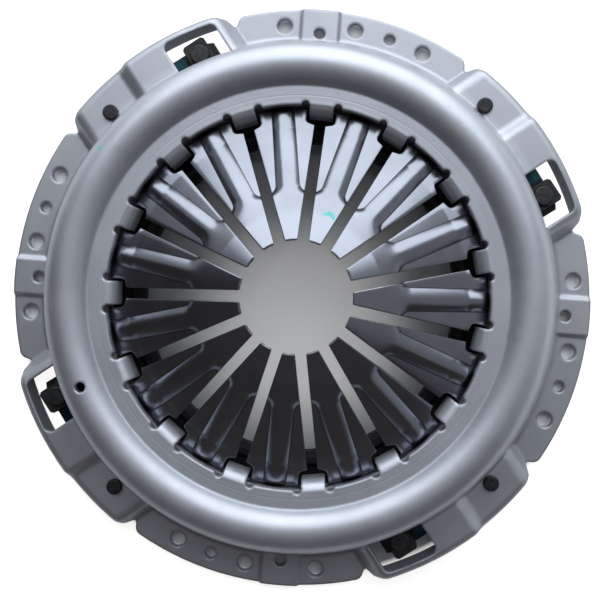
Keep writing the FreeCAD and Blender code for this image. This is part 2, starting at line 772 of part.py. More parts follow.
rib = lofted(spring, rib_sections("rib_over", dim(0), size("rib_half"), dim(1.2)), "rib")
hollow_half = size("rib_half") - 1.2
under = lofted(spring, rib_sections("rib_under", finger_thk, hollow_half, dim(1.2)), "rib_hollow", cut=True)

spring_cuts = new_sketch(spring, "slot_plan", "XY_Plane", tab_turn, spring_top(spring_rad) - 10)
slot_half = size("slot_half")
window_half = size("spring_window_half")
window_near, window_far = spring_window_in, spring_window_out
corner = size("spring_window_corner")
outline(
    spring_cuts,
    (size("tip_rad") - 5, -slot_half),
    (window_near, -slot_half),
    (window_near, corner - window_half),
    (window_near + corner, -window_half, corner, 1),
    (window_far - corner, -window_half),
    (window_far, corner - window_half, corner, 1),
    (window_far, window_half - corner),
    (window_far - corner, window_half, corner, 1),
    (window_near + corner, window_half),
    (window_near, window_half - corner, corner, 1),
    (window_near, slot_half),
    (size("tip_rad") - 5, slot_half),
)
slot = pushed(spring, spring_cuts, "slot", size("bend_rad") + 20, cut=True, against=True)
repeated(spring, [rib, under, slot], "fingers_round", tabs)


# Pressure plate. An iron casting with a ground friction face, a fulcrum ridge and drive lugs.
plate = new_body("pressure_plate")
spring_under = spring_top(ridge_rad) - disc_thk
shoulder = ledge_top - size("shoulder_drop")
rim_z = shoulder - size("rim_drop")
ridge_round, ridge_half = size("ridge_round"), size("ridge_half")
ridge_centre = spring_under - (ridge_round + size("ridge_play")) / cosine(disc)
ridge_z = ridge_centre + root(ridge_round * ridge_round - ridge_half * ridge_half)
plate_side = new_sketch(plate, "plate_side", "XZ_Plane")
outline(
    plate_side,
    (bore_rad, size("face_height")),
    (plate_rad - 1, size("face_height")),
    (plate_rad, size("face_height") + 1),
    (plate_rad, shoulder - size("bevel_drop")),
    (shoulder_rad, shoulder),
    (ridge_rad + ridge_half, shoulder),
    (ridge_rad + ridge_half, ridge_z),
    (ridge_rad - ridge_half, ridge_z, ridge_round, 1),
    (ridge_rad - ridge_half, shoulder),
    (trough_rad + 3, shoulder),
    (trough_rad, shoulder - size("trough_depth")),
    (rim_rad + 2, shoulder - size("trough_depth")),
    (rim_rad, rim_z),
    (bore_rad + size("bore_chamfer"), rim_z),
    (bore_rad, rim_z - size("bore_chamfer")),
)
turned(plate, plate_side, "plate_disc")

gap_plan = new_sketch(plate, "gap_plan", "XY_Plane", tab_turn, shoulder)
outline(
    gap_plan,
    (trough_rad + 4, -size("ridge_gap")),
    (shoulder_rad - 3, -size("ridge_gap")),
    (shoulder_rad - 3, size("ridge_gap")),
    (trough_rad + 4, size("ridge_gap")),
)
gap_cut = pushed(plate, gap_plan, "gap_cut", dim(10), cut=True, against=True)
repeated(plate, [gap_cut], "gaps_round", tabs)

lug_plan = new_sketch(plate, "lug_plan", "XY_Plane", pocket_turn, strap_top)
lug_side = size("lug_rivet_along")
lug_end = lug_rivet_out + size("lug_reach")
lug_clip = size("lug_clip")
outline(
    lug_plan,
    (plate_rad - 14, lug_side - size("lug_half") - lug_clip),
    (plate_rad - 2, lug_side - size("lug_half")),
    (lug_end - lug_clip, lug_side - size("lug_half")),
    (lug_end, lug_side - size("lug_half") + lug_clip),
    (lug_end, lug_side + size("lug_half") - lug_clip),
    (lug_end - lug_clip, lug_side + size("lug_half")),
    (plate_rad - 2, lug_side + size("lug_half")),
    (plate_rad - 14, lug_side + size("lug_half") + lug_clip),
)
lug = pushed(plate, lug_plan, "lug", size("lug_thk"))
lug_hole = new_sketch(plate, "lug_hole", "XY_Plane", pocket_turn, strap_bottom)
circle(lug_hole, lug_rivet_out, lug_side, size("rivet_rad"))
lug_drill = pushed(plate, lug_hole, "lug_drill", dim(30), cut=True, against=True)
repeated(plate, [lug, lug_drill], "lugs_round", pockets)


# Drive straps. Thin spring-steel leaves, in packs that join each lug to its pocket.
along_run = size("lug_rivet_along") - size("seat_rivet_along")
out_run = lug_rivet_out - seat_rivet_out
strap_run = root(along_run * along_run + out_run * out_run)
heading = Dim(
    math.degrees(math.atan2(along_run.value, out_run.value)),
    f"(atan2({along_run.text}; {out_run.text}) / 1 deg)",
)


def put(piece, out, along, angle, height, swing):
    """Place a piece at a pocket's station: out and along its radius, lifted and swung."""
    x = out * cosine(angle) - along * sine(angle)
    y = out * sine(angle) + along * cosine(angle)
    piece.Placement = FreeCAD.Placement(
        FreeCAD.Vector(x.value, y.value, height.value),
        FreeCAD.Rotation(FreeCAD.Vector(0, 0, 1), swing.value),
    )
    piece.setExpression(".Placement.Base.x", x.text)
    piece.setExpression(".Placement.Base.y", y.text)
    piece.setExpression(".Placement.Base.z", height.text)
    piece.setExpression(".Placement.Rotation.Angle", f"{swing.text} * 1 deg")


def strap_leaf(label, angle, height):
    leaf = new_body(label)
    plan = new_sketch(leaf, label + "_plan", "XY_Plane")
    end, half = size("strap_end"), size("strap_half")
    clip_long, clip_wide = size("strap_clip_long"), size("strap_clip_wide")
    outline(
        plan,
        (-end, clip_wide - half),
        (clip_long - end, -half),
        (strap_run + end - clip_long, -half),
        (strap_run + end, clip_wide - half),
        (strap_run + end, half - clip_wide),
        (strap_run + end - clip_long, half),
        (clip_long - end, half),
        (-end, half - clip_wide),
    )
    circle(plan, 0, 0, size("rivet_rad"))
    circle(plan, strap_run, 0, size("rivet_rad") + size("hole_play"))
    pushed(leaf, plan, label + "_pad", size("strap_thk"))
    put(leaf, seat_rivet_out, size("seat_rivet_along"), angle, height, angle + heading)


def rivet(label, out, along, angle, bottom, top, head):
    """A rivet with a head below the bottom height and one above the top height."""
    body = new_body(label)
    side = new_sketch(body, label + "_side", "XZ_Plane")
    grip = top - bottom
    thick, soft = size("head_thk"), size("head_round")
    outline(
        side,
        (dim(0), -thick),
        (head - soft, -thick),
        (head, soft - thick, soft, 1),
        (head, dim(0)),
        (size("rivet_rad"), dim(0)),
        (size("rivet_rad"), grip),
        (head, grip),
        (head, grip + thick - soft),
        (head - soft, grip + thick, soft, 1),
        (dim(0), grip + thick),
    )
    turned(body, side, label + "_turned")
    put(body, out, along, angle, bottom, dim(0))


for pocket in range(int(pockets.value)):
    angle = pocket_turn + dim(360 * pocket) / pockets
    for leaf in range(int(size("strap_count").value)):
        height = strap_bottom + size("strap_thk") * leaf
        strap_leaf(f"drive_strap_{pocket + 1}_{leaf + 1}", angle, height)
    rivet(
        f"cover_rivet_{pocket + 1}",
        seat_rivet_out,
        size("seat_rivet_along"),
        angle,
        strap_bottom,
        size("seat_height"),
        size("seat_head_rad"),
    )
    rivet(
        f"lug_rivet_{pocket + 1}",
        lug_rivet_out,
        size("lug_rivet_along"),
        angle,
        strap_bottom,
        lug_top,
        size("lug_head_rad"),
    )

doc.recompute()

PIECES = [cover, spring, plate]
PIECES += [doc.getObject("upper_pivot_ring"), doc.getObject("lower_pivot_ring")]
NAMES = ("drive_strap_", "cover_rivet_", "lug_rivet_")
PIECES += [item for item in doc.Objects if item.Name.startswith(NAMES) and item.TypeId == "PartDesign::Body"]

for item in doc.Objects:
    if "Invalid" in item.State or "Error" in item.State:
        raise RuntimeError(f"{item.Name} failed to build: {item.State}")
    if item.TypeId == "Sketcher::SketchObject" and not item.FullyConstrained:
        raise RuntimeError(f"{item.Name} is not fully constrained")
for piece in PIECES:
    shape = piece.Shape
    if shape.isNull() or not shape.isValid() or len(shape.Solids) != 1:
        raise RuntimeError(f"{piece.Label} has no single valid solid")
for piece in PIECES:
    piece.Shape.exportStep(f"parts/{piece.Label}.step")
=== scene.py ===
import json
import math
import bpy
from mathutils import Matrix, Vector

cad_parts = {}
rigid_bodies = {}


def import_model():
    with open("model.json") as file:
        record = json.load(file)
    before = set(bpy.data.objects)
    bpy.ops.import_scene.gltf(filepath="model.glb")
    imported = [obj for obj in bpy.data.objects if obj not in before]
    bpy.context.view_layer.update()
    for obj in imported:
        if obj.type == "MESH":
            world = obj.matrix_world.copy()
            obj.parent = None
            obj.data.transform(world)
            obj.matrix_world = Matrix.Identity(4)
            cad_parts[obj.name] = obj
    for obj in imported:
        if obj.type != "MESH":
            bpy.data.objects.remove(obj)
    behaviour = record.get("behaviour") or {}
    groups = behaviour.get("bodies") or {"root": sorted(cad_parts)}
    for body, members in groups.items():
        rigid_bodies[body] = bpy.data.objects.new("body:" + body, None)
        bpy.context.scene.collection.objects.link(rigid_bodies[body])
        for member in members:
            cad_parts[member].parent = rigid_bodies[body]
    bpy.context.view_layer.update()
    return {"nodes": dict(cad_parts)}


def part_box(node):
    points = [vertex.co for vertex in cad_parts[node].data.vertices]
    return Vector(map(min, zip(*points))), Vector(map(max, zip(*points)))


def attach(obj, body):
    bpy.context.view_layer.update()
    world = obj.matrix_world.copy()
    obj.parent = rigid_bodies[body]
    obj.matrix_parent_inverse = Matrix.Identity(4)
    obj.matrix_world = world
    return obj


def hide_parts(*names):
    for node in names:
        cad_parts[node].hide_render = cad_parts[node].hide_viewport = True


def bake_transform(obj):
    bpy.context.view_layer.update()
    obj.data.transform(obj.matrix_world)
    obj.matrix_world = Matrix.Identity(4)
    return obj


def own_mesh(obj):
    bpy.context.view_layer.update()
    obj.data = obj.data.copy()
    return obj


# Clutch pressure plate assembly: finishes, spring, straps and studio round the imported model.
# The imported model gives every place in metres. Sizes below are in millimetres unless they say
# otherwise, and are turned into metres by MM where they are used.
for leftover in list(bpy.data.objects):
    bpy.data.objects.remove(leftover)
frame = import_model()
nodes = frame["nodes"]
MM = 0.001


# Viewpoint. A lens 466 mm above the flywheel face looks straight down on the gearbox side, a
# little off the axis, with the assembly turned so that one bolting section lies near the top.
LENS_PLACE = (17.15, 7.43, 466.43)
LENS_TILT_DEG = (0.682, 1.226, 11.769)
lens = bpy.data.cameras.new("viewpoint")
lens.sensor_width = 36
lens.lens = 47.86
lens.shift_x = -0.0244
lens.shift_y = -0.0329
viewpoint = bpy.data.objects.new("viewpoint", lens)
viewpoint.location = [value * MM for value in LENS_PLACE]
viewpoint.rotation_euler = [math.radians(value) for value in LENS_TILT_DEG]
bpy.context.scene.collection.objects.link(viewpoint)
bpy.context.scene.camera = viewpoint
bpy.context.scene.view_settings.view_transform = "Standard"


# Studio. A pale floor in a pale room, one broad window of light beyond the top of the assembly,
# and a tall dark card curved round its near and left sides, which gives the bare steel its form.
def add_node(tree, kind, inputs=None, **settings):
    """A shader node with its settings, and its inputs as plain values or as links from outputs."""
    made = tree.nodes.new("ShaderNode" + kind)
    for name, value in settings.items():
        setattr(made, name, value)
    for name, value in (inputs or {}).items():
        if isinstance(value, bpy.types.NodeSocket):
            tree.links.new(value, made.inputs[name])
        else:
            made.inputs[name].default_value = value
    return made


def arithmetic(tree, operation, first, second=0.0):
    """One step of arithmetic on values or outputs."""
    return add_node(tree, "Math", {0: first, 1: second}, operation=operation).outputs[0]


def between(tree, value, from_low, from_high, to_low, to_high, **settings):
    """The value carried from one range to another and held inside it."""
    ends = {"From Min": from_low, "From Max": from_high, "To Min": to_low, "To Max": to_high}
    return add_node(tree, "MapRange", {"Value": value, **ends}, **settings).outputs["Result"]


def measure(tree, operation, place, other=(0, 0, 0)):
    """A length, a distance or a reach in one direction, measured from a place."""
    return add_node(tree, "VectorMath", {0: place, 1: other}, operation=operation).outputs["Value"]


def blend_colour(tree, share, first, second):
    """A colour between two, by a share from 0 to 1."""
    mix = tree.nodes.new("ShaderNodeMix")
    mix.data_type = "RGBA"
    for index, value in ((0, share), (6, first), (7, second)):
        if isinstance(value, bpy.types.NodeSocket):
            tree.links.new(value, mix.inputs[index])
        else:
            mix.inputs[index].default_value = value if index == 0 else (*value, 1)
    return mix.outputs[2]


def grain(tree, place, size_mm, detail):
    """Noise with grains of the given size."""
    inputs = {"Vector": place, "Scale": 1 / (size_mm * MM), "Detail": detail}
    return add_node(tree, "TexNoise", inputs).outputs["Fac"]


def mottle(tree, place, size_mm, detail=3, low=0.35, high=0.65):
    """Cloudy noise with patches of the given size, from 0 to 1."""
    return between(tree, grain(tree, place, size_mm, detail), low, high, 0, 1)


def new_finish(name, colour, metallic, roughness):
    """A material of one shader, its node tree, its shader and the place of the surface."""
    finish = bpy.data.materials.new(name)
    finish.use_nodes = True
    tree = finish.node_tree
    shader = tree.nodes["Principled BSDF"]
    shader.inputs["Base Color"].default_value = (*colour, 1)
    shader.inputs["Metallic"].default_value = metallic
    shader.inputs["Roughness"].default_value = roughness
    return finish, tree, shader, add_node(tree, "TexCoord").outputs["Object"]


def add_mesh(name, corners, faces):
    """A mesh object made of corner points in metres and faces that list them."""
    mesh = bpy.data.meshes.new(name)
    mesh.from_pydata(corners, [], faces)
    mesh.update()
    made = bpy.data.objects.new(name, mesh)
    bpy.context.scene.collection.objects.link(made)
    return made


WINDOW_DEG = 101.75
TOWARDS_WINDOW = (math.cos(math.radians(WINDOW_DEG)), math.sin(math.radians(WINDOW_DEG)))


def studio_place(along, across, height):
    """A place in the studio, in metres: along towards the window and across to its right."""
    toward_x, toward_y = TOWARDS_WINDOW
    return (toward_x * along + toward_y * across, toward_y * along - toward_x * across, height)


FLOOR_HALF_M, FLOOR_DROP = 6, 0.3
FLOOR_WHITE, FLOOR_WHITE_FROM, FLOOR_WHITE_TO = 0.8, 161, 165
# Painted light: the HOLE_ numbers set a glow on the floor under the upper strap windows, and the POOL_
# numbers set a glowing pool under the centre hole.
HOLE_PAINTED_LIGHT, HOLES_FROM, HOLES_TO, LOWEST_HOLE_FROM, LOWEST_HOLE_TO = 0.9, 130, 138, -115, -95
PAINTED_POOL_LIGHT, POOL_ALONG, POOL_CORE, POOL_EDGE = 0.18, -18, 30, 78
MIRRORED_WHITE, MIRRORED_FROM, MIRRORED_TO = 0.45, 220, 420
floor = add_mesh(
    "floor",
    [studio_place(a * FLOOR_HALF_M, b * FLOOR_HALF_M, -FLOOR_DROP * MM)
     for a, b in ((-1, 1), (1, 1), (1, -1), (-1, -1))],
    [(0, 1, 2, 3)],
)
floor_paper, tree, shader, place = new_finish("floor_paper", (0.8, 0.8, 0.8), 0, 0.9)
clouds = add_node(tree, "TexNoise", {"Scale": 1 / (22 * MM), "Detail": 3}).outputs["Fac"]
clouds = between(tree, clouds, 0.35, 0.65, 0.76, 0.86)
cloudy = add_node(tree, "CombineColor", {"Red": clouds, "Green": clouds, "Blue": clouds})
tree.links.new(cloudy.outputs["Color"], shader.inputs["Base Color"])
reach = measure(tree, "LENGTH", place)
part_x, part_y = add_node(tree, "SeparateXYZ", {0: place}).outputs[:2]
# Painted light: the floor under the upper three strap windows glows white although the cover shades it; the
# lowest window keeps its real shadow.
quarters = arithmetic(tree, "MULTIPLY", arithmetic(tree, "ARCTAN2", part_y, part_x), 4)
painted_hole_light = between(tree, arithmetic(tree, "COSINE", quarters), -0.05, -0.25, 0, 1)
along = measure(tree, "DOT_PRODUCT", place, studio_place(1, 0, 0))
upper_three = between(tree, along, LOWEST_HOLE_FROM * MM, LOWEST_HOLE_TO * MM, 0, HOLE_PAINTED_LIGHT)
painted_hole_light = arithmetic(tree, "MULTIPLY", painted_hole_light, upper_three)
past_ring = between(tree, reach, HOLES_FROM * MM, HOLES_TO * MM, 0, 1)
painted_hole_light = arithmetic(tree, "MULTIPLY", painted_hole_light, past_ring)
glow = between(tree, reach, FLOOR_WHITE_FROM * MM, FLOOR_WHITE_TO * MM, 0, FLOOR_WHITE)
glow = arithmetic(tree, "MAXIMUM", glow, painted_hole_light)
# Painted light: a soft round pool of glow on the floor under the centre hole, set 18 mm away from the
# window, where light through the hole lands.
painted_light_pool = measure(tree, "DISTANCE", place, studio_place(POOL_ALONG * MM, 0, 0))
painted_light_pool = between(tree, painted_light_pool, POOL_CORE * MM, POOL_EDGE * MM, PAINTED_POOL_LIGHT, 0, interpolation_type="SMOOTHSTEP")
glow = arithmetic(tree, "ADD", glow, painted_light_pool)
rays = add_node(tree, "LightPath").outputs
seen = arithmetic(tree, "MAXIMUM", rays["Is Camera Ray"], rays["Is Transmission Ray"])
glow = arithmetic(tree, "MULTIPLY", seen, glow)
mirrored = between(tree, reach, MIRRORED_FROM * MM, MIRRORED_TO * MM, 0, MIRRORED_WHITE)
mirrored = arithmetic(tree, "MULTIPLY", rays["Is Glossy Ray"], mirrored)
glow = arithmetic(tree, "MAXIMUM", glow, mirrored)
tree.links.new(glow, shader.inputs["Emission Strength"])
shader.inputs["Emission Color"].default_value = (1, 0.98, 0.97, 1)
floor.data.materials.append(floor_paper)

ROOM_BACK, ROOM_SIDES, ROOM_CEILING = (0.20, 0.20, 0.21), (0.44, 0.455, 0.49), (0.27, 0.278, 0.30)
room = bpy.data.worlds.new("room")
room.use_nodes = True
sky = room.node_tree
direction = add_node(sky, "TexCoord").outputs["Generated"]
upward = add_node(sky, "SeparateXYZ", {0: direction}).outputs["Z"]
facing = measure(sky, "DOT_PRODUCT", direction, studio_place(1, 0, 0))
walls = blend_colour(sky, between(sky, facing, -0.75, -0.1, 0, 1), ROOM_BACK, ROOM_SIDES)
whole_room = blend_colour(sky, between(sky, upward, 0.1, 0.65, 0, 1), walls, ROOM_CEILING)
sky.links.new(whole_room, sky.nodes["Background"].inputs["Color"])
bpy.context.scene.world = room

LAMP_PLACE_M, LAMP_WIDE_M, LAMP_HIGH_M, LAMP_WATTS = (1.5, 0.14, 1.10), 2.8, 2.4, 47
window_light = bpy.data.lights.new("window_light", "AREA")
window_light.shape = "RECTANGLE"
window_light.size = LAMP_WIDE_M
window_light.size_y = LAMP_HIGH_M
window_light.energy = LAMP_WATTS
window_light.color = (0.90, 0.96, 1.0)
lamp = bpy.data.objects.new("window_light", window_light)
lamp.location = studio_place(*LAMP_PLACE_M)
lamp.rotation_euler = lamp.location.to_track_quat("Z", "Y").to_euler()
bpy.context.scene.collection.objects.link(lamp)

CARD_REACH_M, CARD_HIGH_M, CARD_FROM_DEG, CARD_TO_DEG, CARD_PANELS = 0.5, 1.25, 122, 292, 24
card_sweep = CARD_TO_DEG - CARD_FROM_DEG
card_turns = [math.radians(CARD_FROM_DEG + card_sweep * k / CARD_PANELS) for k in range(CARD_PANELS + 1)]
card = add_mesh(
    "facing_card",
    [studio_place(CARD_REACH_M * math.cos(turn), CARD_REACH_M * math.sin(turn), high)
     for turn in card_turns for high in (0, CARD_HIGH_M)],
    [(2 * k, 2 * k + 1, 2 * k + 3, 2 * k + 2) for k in range(CARD_PANELS)],
)
card.visible_camera = False
card.data.materials.append(new_finish("card_board", (0.052, 0.042, 0.036), 0, 0.8)[0])


# Pressure plate. A grey iron casting with a sandy skin, a ground friction face below and turned
# lands under the spring; it hangs from the straps by four lugs.
def relief(tree, shader, heights, edge_mm):
    """Surface relief from pairs of height output and depth in millimetres, over softened edges."""
    normal = add_node(tree, "Bevel", {"Radius": edge_mm * MM}, samples=6).outputs["Normal"]
    for height, depth_mm in heights:
        bump = add_node(tree, "Bump", {"Height": height, "Distance": depth_mm * MM, "Normal": normal})
        normal = bump.outputs["Normal"]
    tree.links.new(normal, shader.inputs["Normal"])


def axis_distance(tree, place):
    """Distance of the surface from the engine axis, in metres."""
    flat = add_node(tree, "VectorMath", {0: place, 1: (1, 1, 0)}, operation="MULTIPLY")
    return measure(tree, "LENGTH", flat.outputs["Vector"])


def coat(node_name, finish):
    """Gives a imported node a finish, in place of its plain one."""
    nodes[node_name].data.materials.clear()
    nodes[node_name].data.materials.append(finish)


IRON_SKIN, IRON_GROUND = (0.016, 0.016, 0.018), (0.26, 0.26, 0.27)
FRICTION_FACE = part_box("pressure_plate")[0].z
cast_iron, tree, shader, place = new_finish("cast_iron", IRON_SKIN, 0.4, 0.55)
height = add_node(tree, "SeparateXYZ", {0: place}).outputs["Z"]
ground = between(tree, height, FRICTION_FACE + 0.2 * MM, FRICTION_FACE + 0.1 * MM, 0, 1)
skin = blend_colour(tree, mottle(tree, place, 4), IRON_SKIN, (0.026, 0.025, 0.026))
worn = blend_colour(tree, mottle(tree, place, 30), IRON_GROUND, (0.20, 0.195, 0.20))
tree.links.new(blend_colour(tree, ground, skin, worn), shader.inputs["Base Color"])
skin_rough = between(tree, mottle(tree, place, 6), 0, 1, 0.48, 0.66)
smoother = arithmetic(tree, "MULTIPLY", ground, 0.22)
tree.links.new(arithmetic(tree, "SUBTRACT", skin_rough, smoother), shader.inputs["Roughness"])
sand = arithmetic(tree, "SUBTRACT", 1.0, ground)
sand = arithmetic(tree, "MULTIPLY", grain(tree, place, 0.8, 4), sand)
lathe_lines = {"W": axis_distance(tree, place), "Scale": 1 / (0.5 * MM), "Detail": 2}
lathe_lines = add_node(tree, "TexNoise", lathe_lines, noise_dimensions="1D").outputs["Fac"]
lathe_lines = arithmetic(tree, "MULTIPLY", lathe_lines, ground)
relief(tree, shader, ((sand, 0.25), (lathe_lines, 0.03)), 0.5)
coat("pressure_plate", cast_iron)


# Pivot rings. Two hoops of hardened wire, one above the spring and one below, oiled and dark.
# The tabs of the cover hold them against the spring.
wire, tree, shader, place = new_finish("pivot_wire", (0.09, 0.09, 0.10), 1, 0.3)
oiled = blend_colour(tree, mottle(tree, place, 5), (0.07, 0.07, 0.08), (0.13, 0.125, 0.13))
tree.links.new(oiled, shader.inputs["Base Color"])
tree.links.new(between(tree, mottle(tree, place, 1.5), 0, 1, 0.26, 0.42), shader.inputs["Roughness"])
relief(tree, shader, ((grain(tree, place, 0.6, 3), 0.02),), 0.2)
coat("upper_pivot_ring", wire)
coat("lower_pivot_ring", wire)


# Diaphragm spring. One disc of spring steel, stamped with fifteen fingers, each stiffened by a
# pressed rib that runs out into a flat tip; hardened, shot-peened and held between the rings.
SPRING_THICK = 3.6
DISC_DEG, FINGER_DEG, TIP_DEG = 12, 22, 17
KNEE, TIP_BEND, TIP = 92, 45, 29.3
SLOT_HALF = 2.85
WINDOW_HALF, WINDOW_NEAR, WINDOW_FAR, WINDOW_ROUND = 7.85, 94.6, 105, 3
RIB_HALF, RIB_HIGH, RIB_END, RIB_FADE = 6.2, 2.4, 104.5, 4
FLARE_START, FLARE_RUN, FLARE_WIDTH = 60.5, 4.5, 2.6
EDGE_INSETS, EDGE_DROPS, LEAST_FLAT = (0, 0.2, 0.55), (0.42, 0.14, 0), 0.07
FINGERS, FIRST_TAB_DEG = 15, 22.5
wire_low, wire_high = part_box("upper_pivot_ring")
wire_half = (wire_high.z - wire_low.z) / 2 / MM
PIVOT_RAD = wire_high.x / MM - wire_half
PIVOT_TOP = wire_low.z / MM + wire_half * (1 - 1 / math.cos(math.radians(DISC_DEG)))
SPRING_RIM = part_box("diaphragm_spring")[1].x / MM


def slope(degrees):
    """Rise for each unit of run."""
    return math.tan(math.radians(degrees))


def smooth(value):
    """A value from 0 to 1 with soft ends."""
    value = min(max(value, 0), 1)
    return value * value * (3 - 2 * value)


def spring_height(reach):
    """Height of the plain spring's upper face, with a turn at the knee."""
    plain = PIVOT_TOP + (PIVOT_RAD - reach) * slope(DISC_DEG)
    return plain + max(KNEE - reach, 0) * (slope(FINGER_DEG) - slope(DISC_DEG))


def crease(reach):
    """Half width of the rib at its creases, which flare out to the finger's edges near the tip."""
    return RIB_HALF + FLARE_WIDTH * (max(FLARE_START - reach, 0) / FLARE_RUN) ** 3


def slot_width(reach):
    """Half width of the slot or of the tab's window at a radius."""
    if reach < WINDOW_NEAR:
        return SLOT_HALF
    if reach >= WINDOW_FAR:
        return WINDOW_HALF - WINDOW_ROUND
    inset = max(WINDOW_NEAR + WINDOW_ROUND - reach, reach - WINDOW_FAR + WINDOW_ROUND, 0)
    return WINDOW_HALF - WINDOW_ROUND + math.sqrt(max(WINDOW_ROUND ** 2 - inset ** 2, 0))


def steps(first, last, pitch):
    """Even places from first up to, but without, last."""
    count = max(round((last - first) / pitch), 1)
    return [first + (last - first) * number / count for number in range(count)]


finger_rows = (
    [TIP + inset for inset in EDGE_INSETS] + steps(TIP + 1, TIP_BEND - 0.5, 1.4)
    + steps(TIP_BEND - 0.5, TIP_BEND + 0.5, 0.25) + steps(TIP_BEND + 0.5, FLARE_START - 8, 0.9)
    + steps(FLARE_START - 8, FLARE_START + 1, 0.45) + steps(FLARE_START + 1, 90, 2)
    + steps(90, WINDOW_NEAR, 0.8) + [WINDOW_NEAR + 0.02]
    + steps(WINDOW_NEAR + 0.1, WINDOW_NEAR + WINDOW_ROUND, 0.3)
    + steps(WINDOW_NEAR + WINDOW_ROUND, WINDOW_FAR - WINDOW_ROUND, 0.8)
    + steps(WINDOW_FAR - WINDOW_ROUND, WINDOW_FAR, 0.3)
)
disc_rows = steps(WINDOW_FAR, SPRING_RIM, 2.5) + [SPRING_RIM]
RIB_COLUMNS, FLAT_COLUMNS, BRIDGE_COLUMNS = 20, 4, 6
FAR_FROM_CREASE = 5
half_sector = math.pi / FINGERS
first_finger = math.radians(FIRST_TAB_DEG + 180 / FINGERS)
sheet_points, sheet_faces, crease_marks = [], [], []


def finger_point(reach, across, turn, drop):
    """A point of a finger's upper face, from its radius and its distance to the finger's middle."""
    past_bend = max(TIP_BEND - reach, 0) * (slope(FINGER_DEG) - slope(TIP_DEG))
    share = min(abs(across) / crease(reach), 1)
    rib = RIB_HIGH * smooth((RIB_END - reach) / RIB_FADE) * (1 - share ** 2)
    angle = turn + math.asin(across / reach)
    z = spring_height(reach) - past_bend + rib - drop
    return (reach * math.cos(angle) * MM, reach * math.sin(angle) * MM, z * MM)


def finger_columns(reach):
    """Distances across a finger at a radius: rib in the middle, then flats and stamped edges."""
    edge = reach * math.sin(half_sector - math.asin(slot_width(reach) / reach))
    foot = edge - EDGE_INSETS[2]
    bend = min(crease(reach), foot - LEAST_FLAT)
    flats = [bend + (foot - bend) * step / FLAT_COLUMNS for step in range(1, FLAT_COLUMNS + 1)]
    outer = flats + [edge - EDGE_INSETS[1], edge]
    ribs = [bend * (2 * step / RIB_COLUMNS - 1) for step in range(RIB_COLUMNS + 1)]
    return [-value for value in reversed(outer)] + ribs + outer


def join_rows(rows):
    """Faces between the points of neighbouring rows."""
    for inner, outer in zip(rows, rows[1:]):
        for left in range(len(inner) - 1):
            sheet_faces.append((inner[left], outer[left], outer[left + 1], inner[left + 1]))


for number in range(FINGERS):
    turn = first_finger + number * 2 * half_sector
    rows = []
    for index, reach in enumerate(finger_rows + disc_rows):
        columns = finger_columns(reach)
        tip_drop = EDGE_DROPS[min(index, 2)]
        row = []
        for column, across in enumerate(columns):
            from_edge = min(column, len(columns) - 1 - column, 2)
            side_drop = EDGE_DROPS[from_edge] if reach < WINDOW_FAR else 0
            row.append(len(sheet_points))
            sheet_points.append(finger_point(reach, across, turn, max(side_drop, tip_drop)))
            crease_marks.append(abs(abs(across) - crease(reach)))
        rows.append(row)
    join_rows(rows)
for number in range(FINGERS):
    turn = first_finger + (2 * number + 1) * half_sector
    rows = []
    for reach in disc_rows:
        half = math.asin(slot_width(reach) / reach)
        row = []
        for step in range(BRIDGE_COLUMNS + 1):
            angle = turn + half * (2 * step / BRIDGE_COLUMNS - 1)
            row.append(len(sheet_points))
            sheet_points.append((reach * math.cos(angle) * MM, reach * math.sin(angle) * MM,
                                 spring_height(reach) * MM))
            crease_marks.append(FAR_FROM_CREASE)
        rows.append(row)
    join_rows(rows)

spring = add_mesh("diaphragm_spring_stamping", sheet_points, sheet_faces)
from_crease = spring.data.attributes.new("from_crease", "FLOAT", "POINT")
from_crease.data.foreach_set("value", crease_marks)
spring.data.shade_smooth()
thicken = spring.modifiers.new("sheet_thickness", "SOLIDIFY")
thicken.thickness = SPRING_THICK * MM
thicken.offset = -1
split = spring.modifiers.new("stamped_edges", "EDGE_SPLIT")
split.split_angle = math.radians(24)

spring_steel, tree, shader, place = new_finish("spring_steel", (0.27, 0.285, 0.33), 1, 0.28)
reach = axis_distance(tree, place)
steel = blend_colour(tree, mottle(tree, place, 22, 2), (0.255, 0.268, 0.305), (0.29, 0.302, 0.345))
burnished = between(tree, reach, (TIP_BEND + 1.5) * MM, (TIP_BEND - 2) * MM, 0, 1)
steel = blend_colour(tree, arithmetic(tree, "MULTIPLY", burnished, 0.5), steel, (0.32, 0.333, 0.38))
# Painted shade: the steel turns near black along the rib's creases, where shade falls in the pressed
# valleys, up to the rib's outer end.
crease_line = add_node(tree, "Attribute", attribute_name="from_crease").outputs["Fac"]
painted_crease_shade = between(tree, crease_line, 0.08, 0.42, 0.9, 0)
rib_span = between(tree, reach, (RIB_END - 6) * MM, (RIB_END - 2) * MM, 1, 0)
steel = blend_colour(tree, arithmetic(tree, "MULTIPLY", painted_crease_shade, rib_span), steel, (0.035, 0.034, 0.036))
BRUSH_PLACE = (8.1 * MM, 43.9 * MM, 55.2 * MM)
BRUSH_MIDDLE = (7.3 * MM, 41.0 * MM, 55.6 * MM)
brush_mark = arithmetic(
    tree, "MULTIPLY",
    between(tree, measure(tree, "DISTANCE", place, BRUSH_PLACE), 3.3 * MM, 2.9 * MM, 0, 1),
    between(tree, measure(tree, "DISTANCE", place, BRUSH_MIDDLE), 3.2 * MM, 3.7 * MM, 0, 0.85),
)
steel = blend_colour(tree, brush_mark, steel, (0.10, 0.56, 0.52))
tree.links.new(between(tree, brush_mark, 0, 1, 1, 0.1), shader.inputs["Metallic"])
tree.links.new(steel, shader.inputs["Base Color"])
handled = between(tree, mottle(tree, place, 16, 2), 0, 1, 0.23, 0.27)
smoother = arithmetic(tree, "MULTIPLY", burnished, 0.05)
tree.links.new(arithmetic(tree, "SUBTRACT", handled, smoother), shader.inputs["Roughness"])
relief(tree, shader, ((grain(tree, place, 0.5, 3), 0.0012),), 0.4)
spring.data.materials.append(spring_steel)
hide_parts("diaphragm_spring")
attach(spring, "cover")
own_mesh(spring)


